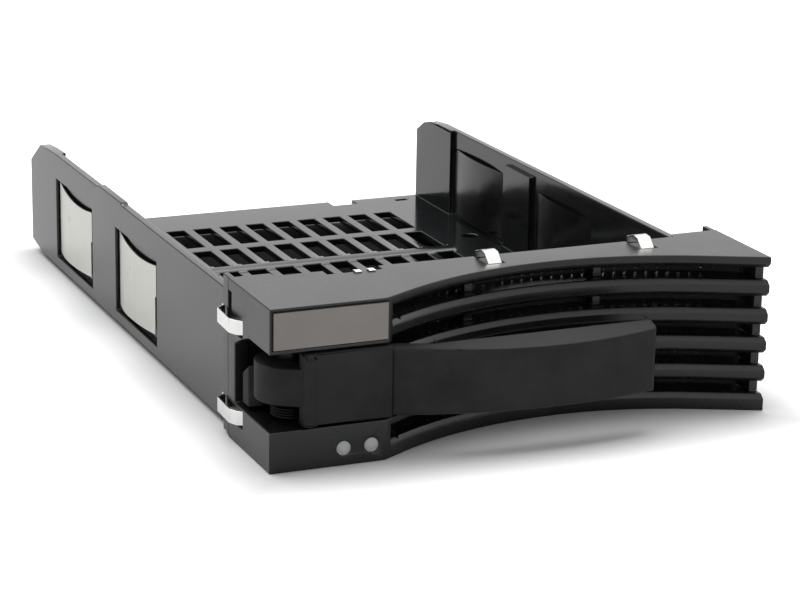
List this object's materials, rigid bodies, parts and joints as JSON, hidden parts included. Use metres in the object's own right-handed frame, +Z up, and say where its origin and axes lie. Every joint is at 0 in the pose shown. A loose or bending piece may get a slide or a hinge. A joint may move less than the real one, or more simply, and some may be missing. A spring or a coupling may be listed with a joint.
{
  "type": "hot swap drive caddy",
  "caption": "Black plastic hot swap caddy for a 3.5 inch drive: slotted tray with side springs, concave louvred front and a swing-out handle.",
  "frame": {"origin": "centre of the overall footprint, on the plane of the bezel's bottom face", "axes": "+X to the right seen from the front, +Y from the front towards the connector end, +Z up out of the drive bay"},
  "size_m": [0.114, 0.1826, 0.0356],
  "materials": {
    "tray_plastic": "satin black moulding",
    "bezel_plastic": "fine textured black moulding",
    "lever_plastic": "fine textured black moulding",
    "pin_steel": "ground steel",
    "spring_steel": "spring wire",
    "label_grey": "satin warm grey, blank",
    "clear_plastic": "clear acrylic",
    "shield_steel": "dark coated perforated sheet",
    "contact_steel": "bright spring steel strip",
    "spring_plate": "nickel plated spring sheet",
    "screw_steel": "dark zinc"
  },
  "bodies": {
    "caddy": {"tray": "tray_plastic", "bezel": "bezel_plastic", "hinge_pin": "pin_steel", "lever_spring": "spring_steel", "label_plate": "label_grey", "light_pipe_left": "clear_plastic", "light_pipe_right": "clear_plastic", "emi_shield": "shield_steel", "emi_clip_top_middle": "contact_steel", "emi_clip_top_right": "contact_steel", "emi_clip_left_upper": "contact_steel", "emi_clip_left_lower": "contact_steel", "emi_clip_right_upper": "contact_steel", "emi_clip_right_lower": "contact_steel", "side_spring_left_front": "spring_plate", "side_spring_left_rear": "spring_plate", "side_spring_right_front": "spring_plate", "side_spring_right_rear": "spring_plate", "contact_tab": "contact_steel", "bezel_screws": "screw_steel"},
    "handle": {"lever": "lever_plastic"}
  },
  "joints": [
    {"name": "handle_swing", "type": "hinge", "parent": "caddy", "child": "handle", "pos_m": [-0.048, -0.07575, 0.0165], "axis": [0, 0, -1], "range_deg": [0, 90]}
  ]
}
